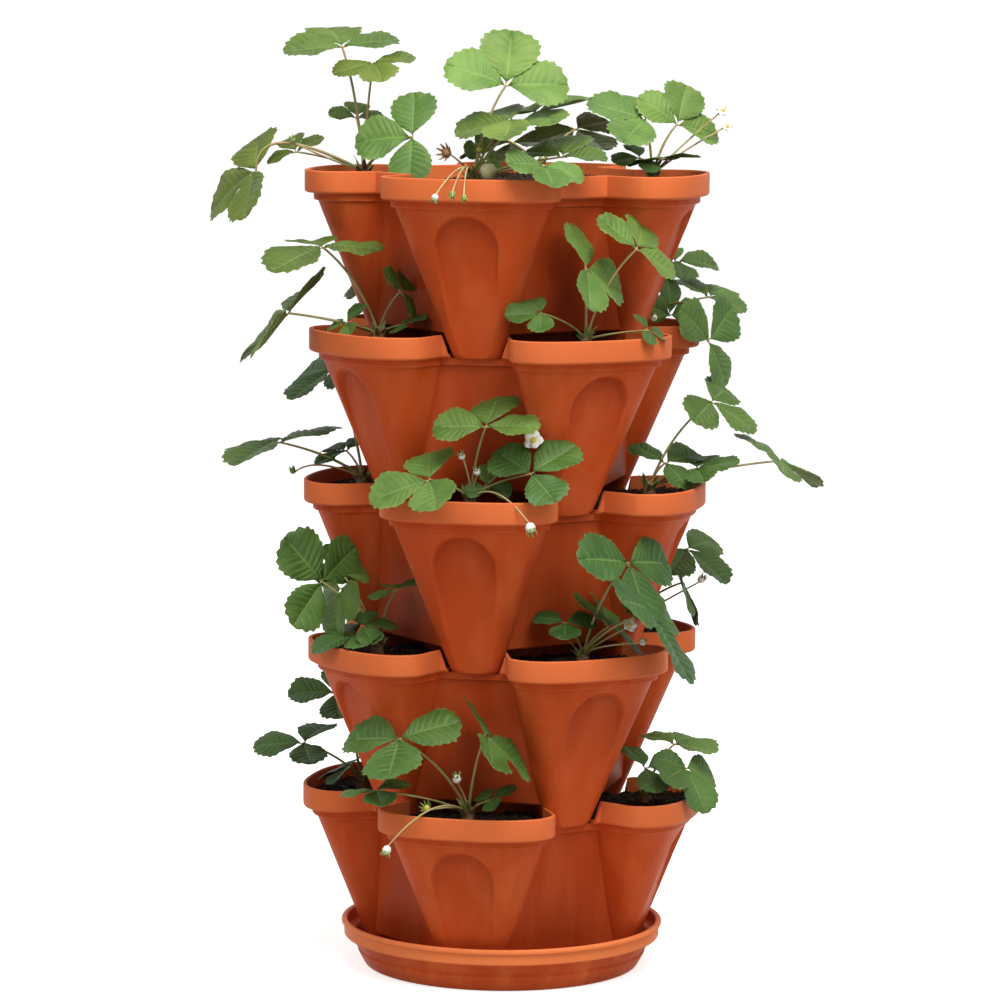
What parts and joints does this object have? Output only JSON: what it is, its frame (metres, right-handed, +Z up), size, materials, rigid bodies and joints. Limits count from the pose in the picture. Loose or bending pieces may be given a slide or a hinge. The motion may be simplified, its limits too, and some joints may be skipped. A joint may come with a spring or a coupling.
{
  "type": "vertical planter tower",
  "caption": "Tower of stacked four-lobed plastic pots in a round saucer, each turned on the one below, with strawberry plants in the pockets.",
  "frame": {"origin": "centre of the saucer's flat underside, on the tower's axis", "axes": "+Z up along the tower's axis, -Y towards the front pocket of the top tier, +X to its right pocket"},
  "size_m": [0.4682, 0.3524, 0.7186],
  "materials": {
    "pot": "moulded terracotta-coloured plastic, softly satin",
    "saucer": "moulded terracotta-coloured plastic, softly satin",
    "disc": "moulded plastic",
    "mix": "damp potting mix",
    "foliage": "leaf green, matte"
  },
  "bodies": {
    "saucer": {"saucer": "saucer"},
    "tier_5": {"pot_tier_5": "pot", "drain_disc_tier_5": "disc", "soil_tier_5": "mix", "plant_tier_5_a": "foliage", "plant_tier_5_b": "foliage", "plant_tier_5_c": "foliage", "plant_tier_5_d": "foliage"},
    "tier_4": {"pot_tier_4": "pot", "drain_disc_tier_4": "disc", "soil_tier_4": "mix", "plant_tier_4_a": "foliage", "plant_tier_4_b": "foliage", "plant_tier_4_c": "foliage", "plant_tier_4_d": "foliage"},
    "tier_3": {"pot_tier_3": "pot", "drain_disc_tier_3": "disc", "soil_tier_3": "mix", "plant_tier_3_a": "foliage", "plant_tier_3_b": "foliage", "plant_tier_3_c": "foliage", "plant_tier_3_d": "foliage"},
    "tier_2": {"pot_tier_2": "pot", "drain_disc_tier_2": "disc", "soil_tier_2": "mix", "plant_tier_2_a": "foliage", "plant_tier_2_b": "foliage", "plant_tier_2_c": "foliage", "plant_tier_2_d": "foliage"},
    "tier_1": {"pot_tier_1": "pot", "drain_disc_tier_1": "disc", "soil_tier_1": "mix", "plant_tier_1_a": "foliage", "plant_tier_1_b": "foliage", "plant_tier_1_c": "foliage", "plant_tier_1_d": "foliage"}
  },
  "joints": [
    {"name": "lift_tier_5", "type": "slide", "parent": "saucer", "child": "tier_5", "axis": [0, 0, 1], "range_m": [0, 0.12]},
    {"name": "lift_tier_4", "type": "slide", "parent": "tier_5", "child": "tier_4", "axis": [0, 0, 1], "range_m": [0, 0.12]},
    {"name": "lift_tier_3", "type": "slide", "parent": "tier_4", "child": "tier_3", "axis": [0, 0, 1], "range_m": [0, 0.12]},
    {"name": "lift_tier_2", "type": "slide", "parent": "tier_3", "child": "tier_2", "axis": [0, 0, 1], "range_m": [0, 0.12]},
    {"name": "lift_tier_1", "type": "slide", "parent": "tier_2", "child": "tier_1", "axis": [0, 0, 1], "range_m": [0, 0.12]}
  ]
}
